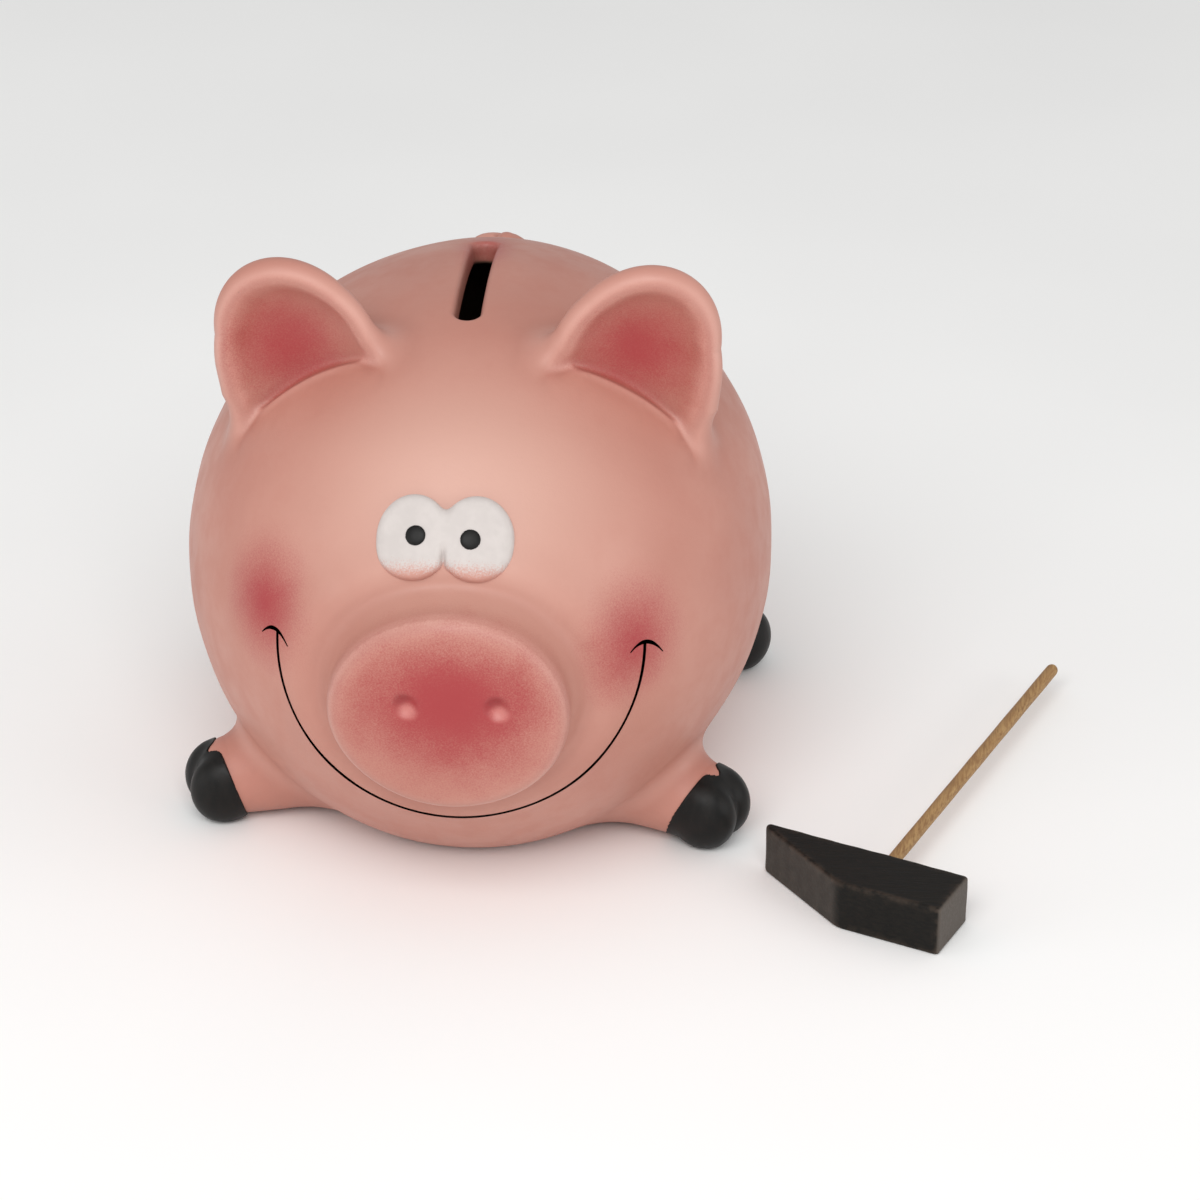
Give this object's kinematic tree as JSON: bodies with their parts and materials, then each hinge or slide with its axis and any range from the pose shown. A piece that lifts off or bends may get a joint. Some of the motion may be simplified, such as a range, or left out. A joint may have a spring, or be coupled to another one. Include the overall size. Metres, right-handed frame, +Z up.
{
  "type": "figural animal coin bank",
  "caption": "Round ceramic pig coin bank with a slot along its back, splayed stub legs, a pull-out belly stopper and a small wooden hammer beside it.",
  "frame": {"origin": "on the table surface under the centre of the body's flat base", "axes": "+Z up, the pig faces -Y, +X is to the right of someone looking at its face"},
  "size_m": [0.1995, 0.1674, 0.1335],
  "materials": {
    "pink_ceramic": "matt airbrushed pink with red blushes",
    "black_glaze": "satin black",
    "white_glaze": "matt white",
    "stopper_rubber": "matt, slightly dusty",
    "black_stained_wood": "black stain over close grain",
    "pale_wood": "bare dowel"
  },
  "bodies": {
    "bank": {"bank_shell": "pink_ceramic", "left_ear": "pink_ceramic", "right_ear": "pink_ceramic", "snout": "pink_ceramic", "tail": "pink_ceramic", "front_left_leg": "pink_ceramic", "front_right_leg": "pink_ceramic", "rear_left_leg": "pink_ceramic", "rear_right_leg": "pink_ceramic", "front_left_hoof": "black_glaze", "front_right_hoof": "black_glaze", "rear_left_hoof": "black_glaze", "rear_right_hoof": "black_glaze", "eye_whites": "white_glaze", "left_pupil": "black_glaze", "right_pupil": "black_glaze"},
    "stopper": {"belly_stopper": "stopper_rubber"},
    "hammer": {"hammer_head": "black_stained_wood", "hammer_handle": "pale_wood"}
  },
  "joints": [
    {"name": "stopper_pull", "type": "slide", "parent": "bank", "child": "stopper", "axis": [0, 0, -1], "range_m": [0, 0.03]},
    {"name": "hammer_lift", "type": "slide", "parent": "bank", "child": "hammer", "axis": [0, 0, 1], "range_m": [0, 0.15]}
  ]
}
